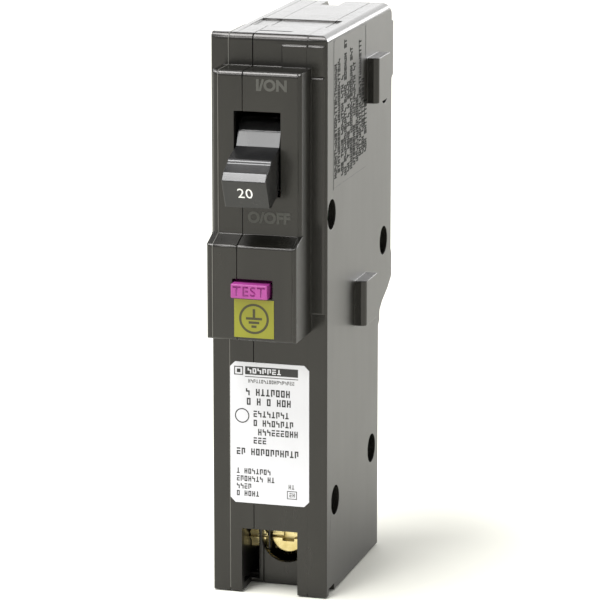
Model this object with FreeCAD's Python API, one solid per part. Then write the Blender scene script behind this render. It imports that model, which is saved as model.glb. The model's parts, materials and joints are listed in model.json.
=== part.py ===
import FreeCAD, Part
import math
import os

# Single-pole plug-on circuit breaker with ground-fault and arc-fault electronics, in millimetres.
# It is drawn from the front left bottom corner: x to the right across the pole, y from the
# shoulder plane of the front towards the panel, z from the load end up to the line end.
# save() moves every piece so that the origin lies in the middle of the load end face.

# ---------------------------------------------------------------- driving dimensions
POLE = 25.4            # one pole space
HEIGHT = 122.0         # load end to line end
DEPTH = 53.8           # shoulder plane to the rear of the line half
FOOT_DEPTH = 43.0      # shoulder plane to the rear of the load half
LEDGE = 59.5           # height where the line half starts to overhang
WALL = 1.5             # moulded wall
SEAM = 0.12            # gap at a parting line
FLANGE_X = 3.84        # parting lines between the four shells
MIDDLE_X = 9.15
RIGHT_X = 21.1
FLANGE_DEPTH = 2.2     # the left shell is set back behind its front flange

NOSE_LEFT, NOSE_RIGHT = 2.5, 22.0
NOSE_FRONT = -7.7
NOSE_LOW, NOSE_TOP = 80.7, 115.2
CHIN_FRONT = -12.1
CHIN_LOW, CHIN_TOP = 58.8, 79.0

WINDOW_X = (7.3, 17.4)     # handle window in the nose
WINDOW_Z = (89.0, 106.8)
PIVOT_Y, PIVOT_Z = -1.0, 98.0
HANDLE_X = (7.6, 17.1)
HANDLE_TILT = 25.0         # off: the toggle points this far below the horizontal
HUB_R = 6.6

SLOT_X = (8.15, 16.85)     # test key
SLOT_Z = (68.1, 72.0)
KEY_GAP = 0.15
KEY_PROUD = 1.9
KEY_TRAVEL = 1.2

RIVETS = [(3.6, 83.6), (47.2, 69.2), (47.6, 103.4), (6.9, 20.1), (37.4, 23.7)]
WELL_R = 3.2
RIVET_R = 1.2
POST_R = 2.7

LOAD_TOP = 14.1            # wiring window at the load end
LOAD_X = (6.4, 18.8)
LOAD_DEPTH = 7.3
POWER_X, POWER_Z = 14.2, 10.5
NEUTRAL_X, NEUTRAL_Z = 7.45, 10.2

STAB_X = (11.3, 15.4)      # stab slot at the rear of the line end
STAB_FRONT = 44.8
STAB_LOW = 106.0

BOSS_PROUD = 2.55          # side bosses that nest in the next pole's recess
BOSSES = [(32.3, 102.6), (22.4, 55.2)]
BOSS_SIZE = 9.9

# compartments behind the shells
MECH_X = (5.3, 17.6)
BOARD_X = (18.6, 23.8)
MECH_Z = (61.5, 119.6)
LOWER_Z = (17.2, 60.0)
INNER_Y = 2.0

PARTS = "parts"
ORIGIN = FreeCAD.Vector(-POLE / 2, -FOOT_DEPTH / 2, 0)
X_AXIS = FreeCAD.Vector(1, 0, 0)
Y_AXIS = FreeCAD.Vector(0, 1, 0)
Z_AXIS = FreeCAD.Vector(0, 0, 1)


# ---------------------------------------------------------------- helpers
def vec(x, y, z):
    return FreeCAD.Vector(x, y, z)


def box(xs, ys, zs):
    return Part.makeBox(xs[1] - xs[0], ys[1] - ys[0], zs[1] - zs[0], vec(xs[0], ys[0], zs[0]))


def rod_x(xs, y, z, radius):
    return Part.makeCylinder(radius, xs[1] - xs[0], vec(xs[0], y, z), X_AXIS)


def rod_y(ys, x, z, radius):
    return Part.makeCylinder(radius, ys[1] - ys[0], vec(x, ys[0], z), Y_AXIS)


def rod_z(zs, x, y, radius):
    return Part.makeCylinder(radius, zs[1] - zs[0], vec(x, y, zs[0]), Z_AXIS)


def side_prism(xs, outline):
    """A solid with this (y, z) outline, from one x to the other."""
    points = [vec(xs[0], y, z) for y, z in outline]
    face = Part.Face(Part.makePolygon(points + points[:1]))
    return face.extrude(vec(xs[1] - xs[0], 0, 0))


def join(first, *others):
    result = first
    for other in others:
        result = result.fuse(other)
    return result.removeSplitter()


def cut(shape, *tools):
    for tool in tools:
        shape = shape.cut(tool)
    return shape


def round_edges(shape, radius, wanted):
    """Fillet each straight edge whose two ends both satisfy wanted(point)."""
    chosen = []
    for edge in shape.Edges:
        if len(edge.Vertexes) == 2 and all(wanted(v.Point) for v in edge.Vertexes):
            chosen.append(edge)
    return shape.makeFillet(radius, chosen)


def near(value, target):
    return abs(value - target) < 0.01


def round_upright(shape, radius, front_y):
    """Fillet the vertical edges that lie in the plane y = front_y."""
    chosen = []
    for edge in shape.Edges:
        start, end = edge.Vertexes[0].Point, edge.Vertexes[-1].Point
        if near(start.y, front_y) and near(end.y, front_y) and abs(start.z - end.z) > 1:
            chosen.append(edge)
    return shape.makeFillet(radius, chosen)


def turned_x(shape, y, z, degrees):
    """A copy turned about an x axis through (y, z); positive lifts what points forward down."""
    copy = shape.copy()
    copy.rotate(vec(0, y, z), X_AXIS, degrees)
    return copy


def coil(center, axis, radius, wire, pitch, turns):
    """A round-wire helical spring, centred on axis, starting at center."""
    helix = Part.makeHelix(pitch, pitch * turns, radius)
    start = vec(radius, 0, 0)
    profile = Part.Wire(Part.Circle(start, Y_AXIS, wire / 2).toShape())
    spring = Part.Wire(helix).makePipeShell([profile], True, True)
    turn = FreeCAD.Rotation(Z_AXIS, axis)
    spring.Placement = FreeCAD.Placement(center, turn)
    return spring


def bent_strip(xs, path, thickness):
    """A flat strip of metal, xs wide, that follows straight runs of (y, z) points."""
    solids = []
    half = thickness / 2
    for (y0, z0), (y1, z1) in zip(path, path[1:]):
        run = math.hypot(y1 - y0, z1 - z0)
        along = vec(0, (y1 - y0) / run, (z1 - z0) / run)
        side = vec(0, -along.z, along.y)
        low = vec(xs[0], y0, z0) - along * half - side * half
        high = low + along * (run + thickness)
        points = [low, high, high + side * thickness, low + side * thickness, low]
        solids.append(Part.Face(Part.makePolygon(points)).extrude(vec(xs[1] - xs[0], 0, 0)))
    return join(*solids)


def save(name, shape):
    """Write one node, moved to the part's own origin."""
    moved = shape.copy()
    moved.translate(ORIGIN)
    if not moved.isValid():
        raise RuntimeError(name + " is not valid")
    moved.exportStep(os.path.join(PARTS, name + ".step"))
    print("%-24s solids %d  volume %9.2f" % (name, len(moved.Solids), moved.Volume))


# ---------------------------------------------------------------- outer form
def envelope():
    """The closed outside of the whole moulding: body, nose, chin and the small front steps."""
    rear = [
        (0, 0), (FOOT_DEPTH, 0), (FOOT_DEPTH, 50.6), (FOOT_DEPTH + 1.2, 51.6),
        (FOOT_DEPTH + 1.2, 53.8), (FOOT_DEPTH + 3.4, 55.4), (DEPTH - 2.6, 57.4),
        (DEPTH + 0.7, LEDGE), (DEPTH + 0.7, 65.0), (DEPTH, 66.0), (DEPTH, 104.8),
        (DEPTH + 1.4, 105.6), (DEPTH + 1.4, 117.6), (DEPTH, 117.9), (DEPTH, HEIGHT - 2.4),
        (DEPTH - 2.6, HEIGHT), (0, HEIGHT),
    ]
    body = side_prism((0, POLE), rear)
    body = round_edges(body, 1.5, lambda p: near(p.y, 0) and near(p.z, HEIGHT))
    plan = box((0, POLE), (0, DEPTH + 5), (-1, HEIGHT + 1))
    plan = round_upright(plan, 0.4, 0)
    front = box((0, POLE), (-1, DEPTH + 5), (0, HEIGHT))
    front = round_edges(front, 1.6, lambda p: near(p.x, POLE) and near(p.z, HEIGHT))
    body = body.common(plan).common(front)

    nose = box((NOSE_LEFT, NOSE_RIGHT), (NOSE_FRONT, 1), (NOSE_LOW - 8, NOSE_TOP))
    nose = round_edges(nose, 1.1, lambda p: near(p.y, NOSE_FRONT) and near(p.z, NOSE_TOP))
    sides = box((NOSE_LEFT, NOSE_RIGHT), (NOSE_FRONT, 2), (0, HEIGHT))
    sides = round_upright(sides, 0.9, NOSE_FRONT)
    nose = nose.common(sides)

    slope = [(1, CHIN_LOW), (CHIN_FRONT, CHIN_LOW), (CHIN_FRONT, CHIN_TOP),
             (NOSE_FRONT, NOSE_LOW), (1, NOSE_LOW)]
    chin = side_prism((NOSE_LEFT, NOSE_RIGHT), slope)
    chin = round_edges(chin, 0.7, lambda p: near(p.y, CHIN_FRONT))

    panel = box((15.55, POLE - 0.5), (-0.5, 1), (113.3, 119.9))
    strip = box((NOSE_RIGHT - 1, POLE - 0.5), (-0.8, 1), (62.6, 113.3))
    panel = panel.makeChamfer(0.25, [e for e in panel.Edges
                                     if all(near(v.Y, -0.5) for v in e.Vertexes)])
    strip = strip.makeChamfer(0.3, [e for e in strip.Edges
                                    if all(near(v.Y, -0.8) for v in e.Vertexes)])
    solid = join(body, nose, chin, panel, strip)
    for boss_y, boss_z in BOSSES:
        boss = box((POLE - 1, POLE + BOSS_PROUD), (boss_y, boss_y + BOSS_SIZE),
                   (boss_z, boss_z + BOSS_SIZE))
        boss = round_edges(boss, 1.2, lambda p: near(p.x, POLE + BOSS_PROUD) and near(p.y, boss_y))
        solid = solid.fuse(boss)
    return solid.removeSplitter()


def hollows():
    """Every compartment, window and slot that is cut out of the moulding."""
    y_in = (INNER_Y, DEPTH - WALL - 0.6)
    tools = [
        box(MECH_X, y_in, MECH_Z),
        box(BOARD_X, y_in, MECH_Z),
        box((MECH_X[0], BOARD_X[1]), (INNER_Y, FOOT_DEPTH - WALL), LOWER_Z),
        box((8.0, MECH_X[1]), (14.0, 34.0), (LOWER_Z[1] - 1, MECH_Z[0] + 1)),
        box((BOARD_X[0] + 0.4, BOARD_X[1]), (3.4, 39.4), (LOWER_Z[1] - 1, MECH_Z[0] + 1)),
        # nose and chin
        box((MECH_X[0], 19.8), (NOSE_FRONT + WALL, INNER_Y + 1), (82.6, 112.6)),
        box(WINDOW_X, (NOSE_FRONT - 3, NOSE_FRONT + WALL + 1), WINDOW_Z),
        box((MECH_X[0], 20.2), (CHIN_FRONT + WALL, INNER_Y + 1), (61.5, 77.4)),
        box(SLOT_X, (CHIN_FRONT - 3, CHIN_FRONT + WALL + 1), SLOT_Z),
        # wiring chambers at the load end
        box(LOAD_X, (-1, LOAD_DEPTH), (-1, LOAD_TOP)),
        box((MECH_X[0], LOAD_X[0] + 1), (WALL + 0.4, LOAD_DEPTH + 0.1), (WALL, LOAD_TOP)),
        box((MECH_X[0], 8.1), (LOAD_DEPTH - 1, LOAD_DEPTH + 2), (0.9, LOAD_TOP)),
        box((MECH_X[0], 9.6), (LOAD_DEPTH + 1.3, 21.0), (WALL, 16.0)),
        box((10.1, 18.4), (LOAD_DEPTH + 1.3, 25.0), (WALL, 16.0)),
        rod_y((LOAD_DEPTH - 1, LOAD_DEPTH + 2), POWER_X, POWER_Z, 5.5),
        box((MECH_X[0], 9.6), (11.2, 15.6), (-1, WALL + 1)),
        box((10.6, 17.8), (13.2, 18.4), (-1, WALL + 1)),
        # strap passages from the wiring chambers
        box((11.4, 17.0), (17.8, 20.6), (15.0, LOWER_Z[0] + 1)),
        box((5.6, 9.3), (15.4, 17.6), (15.0, LOWER_Z[0] + 1)),
        # stab slot and neutral slot
        box(STAB_X, (STAB_FRONT, DEPTH + 3), (STAB_LOW, HEIGHT + 1)),
        box((MECH_X[0] + 4.4, 16.9), (STAB_FRONT - 1.4, DEPTH - WALL - 0.6), (STAB_LOW, MECH_Z[1])),
        box((19.2, 23.4), (FOOT_DEPTH - 7, FOOT_DEPTH + 3), (32.0, 44.0)),
        # the shallow band across the line end face
        box((5.0, 22.6), (12.0, 22.0), (HEIGHT - 0.35, HEIGHT + 1)),
        box((9.3, 16.4), (4.3, 4.9), (HEIGHT - 0.8, HEIGHT + 1)),
    ]
    return tools


def moulding():
    """The four shells, still as one block."""
    block = cut(envelope(), *hollows())
    for y, z in RIVETS:
        post = rod_x((FLANGE_X, RIGHT_X + 0.6), y, z, POST_R)
        inside = box((FLANGE_X, RIGHT_X + 0.6), (NOSE_FRONT + 1, DEPTH - 0.3), (1, HEIGHT - 1))
        block = block.fuse(post.common(inside))
    for y, z in RIVETS:
        block = block.cut(rod_x((0, POLE), y, z, RIVET_R + 0.05))
        block = block.cut(rod_x((RIGHT_X + 0.6, POLE + 3), y, z, WELL_R))
        block = block.cut(rod_x((-1, FLANGE_X + 0.7), y, z, 2.2))
    recess = box((-1, FLANGE_X), (FLANGE_DEPTH, DEPTH + 4), (-1, HEIGHT + 1))
    block = block.cut(recess)
    # the small rebate behind the front wall at the right of the load end
    return block.cut(box((RIGHT_X + 1, POLE + 1), (1.8, 6.2), (-1, 1.4)))


def shells():
    block = moulding()
    far = (-20, DEPTH + 10)
    tall = (-1, HEIGHT + 1)
    plate_front = FLANGE_DEPTH - 1.0
    gap = SEAM / 2
    plate = box((FLANGE_X - 1, MECH_X[0]), (plate_front, DEPTH + 4), tall)
    left_zone = join(box((-1, FLANGE_X), far, tall), plate)
    case_zone = box((FLANGE_X + gap, MIDDLE_X - gap), far, tall)
    plate_room = box((FLANGE_X - 1, MECH_X[0] + gap), (plate_front - gap, DEPTH + 4), tall)
    pieces = {
        "left_cover": block.common(left_zone),
        "mechanism_case": block.common(case_zone.cut(plate_room)),
        "electronics_case": block.common(box((MIDDLE_X + gap, RIGHT_X - gap), far, tall)),
        "right_cover": block.common(box((RIGHT_X + gap, POLE + 5), far, tall)),
    }
    for name, shape in pieces.items():
        solids = sorted(shape.Solids, key=lambda s: -s.Volume)
        save(name, solids[0])


def rivets():
    made = []
    for y, z in RIVETS:
        shank = rod_x((FLANGE_X + 0.35, RIGHT_X + 1.2), y, z, RIVET_R)
        head = rod_x((RIGHT_X + 0.6, RIGHT_X + 1.4), y, z, 2.3)
        tail = rod_x((FLANGE_X - 0.15, FLANGE_X + 0.7), y, z, 2.0)
        head = head.makeFillet(0.3, [e for e in head.Edges if near(e.BoundBox.XMin, RIGHT_X + 1.4)])
        made.append(join(shank, head, tail).cut(rod_x((RIGHT_X, RIGHT_X + 3), y, z, 0.7)))
    save("rivets", Part.makeCompound(made))


# ---------------------------------------------------------------- front trim
def front_trim():
    label = box((3.95, 21.5), (-0.12, 0.0), (20.0, 51.2))
    corners = [e for e in label.Edges if near(e.Length, 0.12)]
    label = label.makeChamfer(1.1, corners)
    save("rating_label", label)
    sticker = box((8.6, 17.25), (CHIN_FRONT - 0.12, CHIN_FRONT), (59.6, 67.8))
    save("symbol_sticker", sticker)


def test_button():
    xs = (SLOT_X[0] + KEY_GAP, SLOT_X[1] - KEY_GAP)
    zs = (SLOT_Z[0] + KEY_GAP, SLOT_Z[1] - KEY_GAP)
    key = box(xs, (CHIN_FRONT - KEY_PROUD, CHIN_FRONT + WALL + 0.4), zs)
    key = round_edges(key, 0.4, lambda p: near(p.y, CHIN_FRONT - KEY_PROUD))
    shoulder_y = (CHIN_FRONT + WALL + 0.05, CHIN_FRONT + WALL + 1.25)
    shoulder = box((xs[0] - 1.2, xs[1] + 1.2), shoulder_y, (zs[0] - 0.8, zs[1] + 0.8))
    middle_x = (xs[0] + xs[1]) / 2
    middle_z = (zs[0] + zs[1]) / 2
    stem = rod_y((shoulder_y[1] - 0.2, shoulder_y[1] + 4.6), middle_x, middle_z, 1.0)
    save("test_button", join(key, shoulder, stem))
    start = vec(middle_x, shoulder_y[1] + 0.25, middle_z)
    save("test_spring", coil(start, Y_AXIS, 1.7, 0.35, 1.05, 4))
    # the blade that the stem pushes against, on its anchor beside the key
    blade_y = shoulder_y[1] + 4.6 + KEY_TRAVEL + 0.25
    blade = box((middle_x - 1.2, 19.6), (blade_y, blade_y + 0.3), (middle_z - 1.4, middle_z + 1.4))
    anchor = box((18.7, 19.6), (blade_y, blade_y + 5.0), (middle_z - 1.4, middle_z + 1.4))
    save("test_contact", join(blade, anchor))
    seat_y = (shoulder_y[1] + 0.25 + 4.2 + 0.5, shoulder_y[1] + 0.25 + 4.2 + 1.0)
    seat = box((xs[0], xs[1]), seat_y, (zs[0] - 0.6, zs[1] + 0.6))
    seat = seat.cut(rod_y((seat_y[0] - 1, seat_y[1] + 1), middle_x, middle_z, 1.3))
    leg = box((MECH_X[0], MECH_X[0] + 0.8), (shoulder_y[1] + 1.5, seat_y[1]), (zs[0] - 0.6, zs[1] + 0.6))
    bar = box((MECH_X[0], xs[0] + 0.1), seat_y, (zs[0] - 0.6, zs[1] + 0.6))
    save("test_spring_seat", join(seat, bar, leg))


# ---------------------------------------------------------------- toggle and switching parts
def handle():
    """The toggle, drawn pointing straight out and then turned down to its off position."""
    out = [(-16.9, 3.3), (-14.9, 4.2), (-11.4, 4.5), (-10.4, 4.9), (-9.3, 4.5), (-6.5, 4.05),
           (-4.6, 4.5), (-3.0, 5.7)]
    upper = [(PIVOT_Y + y, PIVOT_Z + z) for y, z in out]
    lower = [(y, 2 * PIVOT_Z - z) for y, z in reversed(upper)]
    lever = side_prism(HANDLE_X, upper + lower)
    tip = PIVOT_Y + out[0][0]
    lever = round_edges(lever, 0.35, lambda p: near(p.y, tip))
    hub = rod_x(HANDLE_X, PIVOT_Y, PIVOT_Z, HUB_R)
    arm_x = (11.2, 13.5)
    tail = side_prism(arm_x, [(PIVOT_Y, PIVOT_Z + 3.0), (PIVOT_Y + 10.6, PIVOT_Z + 1.6),
                              (PIVOT_Y + 10.6, PIVOT_Z - 1.6), (PIVOT_Y, PIVOT_Z - 3.0)])
    body = join(lever, hub, tail)
    body = body.cut(rod_x((0, 30), PIVOT_Y, PIVOT_Z, 1.55))
    # the hole in the tail for the spring's hook
    body = body.cut(rod_x((0, 30), PIVOT_Y + 9.2, PIVOT_Z, 0.5))
    save("handle", turned_x(body, PIVOT_Y, PIVOT_Z, HANDLE_TILT))
    pin = rod_x((MECH_X[0], MECH_X[1]), PIVOT_Y, PIVOT_Z, 1.5)
    save("handle_pin", pin)


ARM_PIVOT = (13.0, 88.5)
ARM_OPEN = 16.0
CONTACT_Y, CONTACT_Z = 34.0, 101.0


def switching_parts():
    """Moving arm with its silver contact, drawn closed and then swung open."""
    y0, z0 = ARM_PIVOT
    outline = [(y0 - 2.2, z0 - 2.2), (y0 + 2.2, z0 - 2.6), (CONTACT_Y + 2.0, CONTACT_Z - 4.0),
               (CONTACT_Y + 2.0, CONTACT_Z - 1.6), (CONTACT_Y - 3.0, CONTACT_Z - 1.6),
               (y0 + 1.0, z0 + 2.6), (y0 - 2.2, z0 + 2.2)]
    arm = side_prism((11.6, 13.2), outline)
    arm = arm.cut(rod_x((0, 30), y0, z0, 1.05))
    save("contact_arm", turned_x(arm, y0, z0, -ARM_OPEN))
    moving = rod_z((CONTACT_Z - 1.6, CONTACT_Z - 0.1), 12.4, CONTACT_Y - 0.5, 1.9)
    save("moving_contact", turned_x(moving, y0, z0, -ARM_OPEN))
    save("contact_pivot_pin", rod_x(MECH_X, y0, z0, 1.0))

    fixed = rod_z((CONTACT_Z, CONTACT_Z + 1.5), 12.4, CONTACT_Y - 0.5, 2.0)
    save("stationary_contact", fixed)
    strap = bent_strip((10.4, 14.4), [(CONTACT_Y - 3.2, CONTACT_Z + 2.1), (43.2, CONTACT_Z + 2.1),
                                      (43.2, 108.0)], 1.2)
    save("line_strap", strap)


def arc_chute():
    """Steel splitter plates in a vulcanised frame beside the contact gap."""
    plates = []
    plate_zs = [86.6 + 2.7 * i for i in range(5)]
    for z in plate_zs:
        plate = box((6.9, 16.0), (38.2, 44.4), (z, z + 0.8))
        notch = box((10.4, 14.4), (37.0, 41.6), (z - 1, z + 2))
        plates.append(plate.cut(notch))
    save("arc_plates", Part.makeCompound(plates))
    sides = [box((x, x + 0.8), (38.0, 44.6), (85.4, 99.8)) for x in (6.05, 16.05)]
    back = box((6.05, 16.85), (44.6, 45.4), (85.4, 99.8))
    frame = join(sides[0], sides[1], back)
    for z in plate_zs:
        frame = frame.cut(box((6.85, 16.05), (38.2, 44.4), (z - 0.02, z + 0.82)))
    save("arc_chute_frame", frame)


def line_jaw():
    """Two fingers that grip the panel's stab, joined by a bridge, with a steel backing spring."""
    z_low, z_top = STAB_LOW + 0.8, 118.6
    bridge_y = (STAB_FRONT - 1.0, STAB_FRONT - 0.1)
    bridge = box((11.2, 15.5), bridge_y, (z_low, z_top))
    fingers = []
    for x in (11.35, 14.65):
        fingers.append(box((x, x + 0.7), (bridge_y[0], 52.8), (z_low, z_top)))
    jaw = join(bridge, *fingers)
    save("line_jaw", jaw)
    outer = []
    for x in (10.0, 16.1):
        outer.append(box((x, x + 0.6), (STAB_FRONT - 1.35, 50.6), (z_low + 3.0, z_top - 3.0)))
    save("line_jaw_spring", Part.makeCompound(outer))


def trip_parts():
    """Latched cradle, bimetal, magnet yoke, armature and their small springs and pins."""
    cradle_y, cradle_z = 14.0, 76.5
    cradle = side_prism((14.0, 15.4), [(cradle_y - 2.0, cradle_z - 2.0), (cradle_y + 2.0, cradle_z - 2.4),
                                       (33.6, 76.8), (33.6, 78.4), (24.0, 81.2),
                                       (cradle_y, cradle_z + 3.4), (cradle_y - 2.4, cradle_z + 1.4)])
    cradle = cradle.cut(rod_x((0, 30), cradle_y, cradle_z, 1.05))
    save("cradle", cradle)
    save("cradle_pin", rod_x(MECH_X, cradle_y, cradle_z, 1.0))

    # the armature hangs from a pin and holds the cradle's tip on its small ledge
    hinge_y, hinge_z = 36.4, 88.0
    blade = box((7.6, 15.8), (35.8, 36.8), (64.5, 87.0))
    knuckle = rod_x((7.6, 15.8), hinge_y, hinge_z - 0.2, 1.5)
    ledge = box((13.4, 15.8), (33.15, 36.0), (75.0, 76.2))
    armature = join(blade, knuckle, ledge).cut(rod_x((0, 30), hinge_y, hinge_z - 0.2, 0.85))
    save("armature", armature)
    save("armature_pin", rod_x(MECH_X, hinge_y, hinge_z - 0.2, 0.8))
    spring_start = vec(9.5, 37.2, 72.0)
    save("armature_spring", coil(spring_start, Y_AXIS, 1.7, 0.35, 1.05, 4))

    yoke = box((7.0, 16.4), (26.0, 27.2), (62.5, 73.6))
    for x in (7.0, 15.2):
        yoke = yoke.fuse(box((x, x + 1.2), (26.0, 31.6), (62.5, 73.6)))
    pushrod_hole = rod_y((20.0, 30.0), SOLENOID_X, SOLENOID_Z, 1.0)
    save("magnet_yoke", yoke.removeSplitter().cut(pushrod_hole))
    bimetal = box((8.6, 12.2), (28.4, 29.4), (57.0, 75.0))
    save("bimetal", bimetal)
    save("calibration_screw", join(rod_y((30.2, 33.4), 10.4, 64.0, 1.3),
                                   rod_y((29.5, 30.4), 10.4, 64.0, 0.8)))
    toggle_start = vec(8.3, 15.5, 92.2)
    save("toggle_spring", coil(toggle_start, vec(0, 0.35, -1), 1.2, 0.4, 1.15, 9))


# ---------------------------------------------------------------- load side conductors
def terminals():
    plate_y = 11.4
    head = rod_y((9.1, plate_y), POWER_X, POWER_Z, 3.9)
    head = head.makeChamfer(0.3, [e for e in head.Edges if near(e.BoundBox.YMax, 9.1)])
    slot = box((POWER_X - 5, POWER_X + 5), (8.0, 10.2), (POWER_Z - 0.55, POWER_Z + 0.55))
    socket = box((POWER_X - 1.25, POWER_X + 1.25), (8.0, 10.9), (POWER_Z - 1.25, POWER_Z + 1.25))
    shank = rod_y((plate_y - 0.2, 21.2), POWER_X, POWER_Z, 1.95)
    save("power_screw", cut(join(head, shank), slot, socket))
    plate = box((POWER_X - 3.7, POWER_X + 3.7), (plate_y + 0.05, plate_y + 1.15), (6.6, 14.4))
    save("power_clamp_plate", plate.cut(rod_y((0, 40), POWER_X, POWER_Z, 2.0)))
    strap = bent_strip((POWER_X - 3.6, POWER_X + 3.6), [(18.8, 4.0), (18.8, 15.0)], 1.2)
    riser = bent_strip((POWER_X - 2.4, POWER_X + 2.4), [(18.8, 14.0), (18.8, 24.0), (21.0, 24.0)], 1.2)
    tang = join(strap, riser)
    save("power_terminal", tang.cut(rod_y((0, 40), POWER_X, POWER_Z, 2.0)))

    plate_y = 10.3
    head = rod_y((8.8, plate_y), NEUTRAL_X, NEUTRAL_Z, 1.95)
    slot = box((NEUTRAL_X - 4, NEUTRAL_X + 4), (8.0, 9.6), (NEUTRAL_Z - 0.4, NEUTRAL_Z + 0.4))
    shank = rod_y((plate_y - 0.2, 17.4), NEUTRAL_X, NEUTRAL_Z, 1.1)
    save("neutral_screw", join(head, shank).cut(slot))
    plate = box((NEUTRAL_X - 1.95, NEUTRAL_X + 1.95), (plate_y + 0.05, plate_y + 0.85), (7.2, 13.2))
    save("neutral_clamp_plate", plate.cut(rod_y((0, 40), NEUTRAL_X, NEUTRAL_Z, 1.15)))
    strap_y = 16.5
    route = [(strap_y, 5.5), (strap_y, 19.6), (18.6, 19.6)]
    strap = bent_strip((NEUTRAL_X - 1.8, NEUTRAL_X + 1.8), route, 0.9)
    save("neutral_terminal", strap.cut(rod_y((0, 40), NEUTRAL_X, NEUTRAL_Z, 1.15)))


def conductors():
    load = bent_strip((11.0, 14.6), [(22.2, 24.0), (24.0, 24.0), (24.0, 56.4), (28.9, 56.4)], 1.2)
    save("load_strap", load)
    braid = bent_strip((9.8, 11.2), [(29.6, 75.6), (25.0, 79.5), (18.5, 84.0)], 1.0)
    save("contact_braid", braid)
    neutral = bent_strip((6.9, 8.5), [(19.5, 19.6), (34.4, 19.6), (34.4, 36.0)], 0.9)
    save("neutral_strap", neutral)


# ---------------------------------------------------------------- ground-fault and arc-fault side
def ring_z(center_x, center_y, zs, outer, inner):
    bore = rod_z((zs[0] - 1, zs[1] + 1), center_x, center_y, inner)
    return rod_z(zs, center_x, center_y, outer).cut(bore)


def sensors():
    """Two ring cores round the load strap, each with a tape-covered winding over half of it."""
    for name, z in (("current_sensor", 29.0), ("arc_sensor", 40.0)):
        core = ring_z(12.8, 24.0, (z, z + 5.0), 6.4, 3.9)
        save(name + "_core", core)
        winding = ring_z(12.8, 24.0, (z - 0.7, z + 5.7), 7.1, 3.2)
        half = box((12.8, 22.0), (10.0, 40.0), (z - 2, z + 8))
        save(name + "_winding", winding.common(half).cut(core))


def board():
    base_x = (22.0, 23.4)
    plate = box(base_x, (4.0, 38.6), (46.5, 117.0))
    plate = plate.cut(box((21, 24), (3, 8.2), (78.5, 88.8)))
    plate = plate.cut(box((21, 24), (40, 54), (40, 120)))
    save("circuit_board", plate)
    chips = []
    places = ((14.0, 98.0, 8.0, 8.0), (27.0, 94.0, 5.0, 6.2), (12.0, 112.0, 4.0, 3.0),
              (20.0, 84.0, 5.0, 4.0), (30.0, 108.0, 4.0, 5.0))
    for y, z, long_y, long_z in places:
        chips.append(box((20.6, base_x[0]), (y, y + long_y), (z, z + long_z)))
    save("board_chips", Part.makeCompound(chips))
    cans = []
    for y, z, radius in ((12.5, 74.0, 1.5), (17.5, 74.0, 1.5), (27.0, 72.0, 1.6)):
        cans.append(rod_z((z, z + 7.0), 20.4, y, radius))
    save("board_capacitors", Part.makeCompound(cans))
    disc = rod_x((19.4, base_x[0]), 30.5, 84.0, 4.2)
    save("board_varistor", disc)


SOLENOID_X, SOLENOID_Z = 13.4, 68.4


def solenoid():
    """Trip solenoid lying along y behind the chin, its plunger facing the armature."""
    y0, y1 = 6.0, 21.0
    frame = join(box((9.2, 17.4), (y0, y0 + 1.0), (64.4, 72.4)),
                 box((9.2, 17.4), (y1 - 1.0, y1), (64.4, 72.4)),
                 box((9.2, 17.4), (y0, y1), (63.4, 64.4)))
    frame = frame.cut(rod_y((0, 30), SOLENOID_X, SOLENOID_Z, 1.35))
    save("solenoid_frame", frame)
    coil_body = rod_y((y0 + 1.0, y1 - 1.0), SOLENOID_X, SOLENOID_Z, 3.8)
    save("solenoid_coil", coil_body.cut(rod_y((0, 30), SOLENOID_X, SOLENOID_Z, 1.35)))
    plunger = rod_y((y0 + 2.0, 23.4), SOLENOID_X, SOLENOID_Z, 1.3)
    collar = rod_y((22.7, 23.4), SOLENOID_X, SOLENOID_Z, 2.0)
    pushrod = rod_y((23.0, 35.6), SOLENOID_X, SOLENOID_Z, 0.6)
    save("solenoid_plunger", join(plunger, collar, pushrod))
    save("plunger_spring", coil(vec(SOLENOID_X, y1 + 0.2, SOLENOID_Z), Y_AXIS, 1.7, 0.35, 1.05, 1))


def neutral_clip():
    """Spring clip that grips the panel's plug-on neutral rail, open to the rear."""
    y = (FOOT_DEPTH - 6.6, FOOT_DEPTH - 0.3)
    back = box((19.4, 23.2), (y[0], y[0] + 0.6), (32.4, 43.6))
    fingers = [box((19.4, 23.2), y, (z, z + 0.6)) for z in (34.0, 41.4)]
    save("neutral_clip", join(back, *fingers))
    leaf = [box((19.6, 23.0), (y[0] + 0.7, y[1] - 1.2), (z, z + 0.4)) for z in (33.4, 42.2)]
    save("neutral_clip_spring", Part.makeCompound(leaf))


def main():
    os.makedirs(PARTS, exist_ok=True)
    shells()
    rivets()
    front_trim()
    test_button()
    handle()
    switching_parts()
    arc_chute()
    line_jaw()
    trip_parts()
    terminals()
    conductors()
    sensors()
    board()
    solenoid()
    neutral_clip()


main()
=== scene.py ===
import bpy
import bmesh
import json
import math
from mathutils import Matrix, Vector

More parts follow.
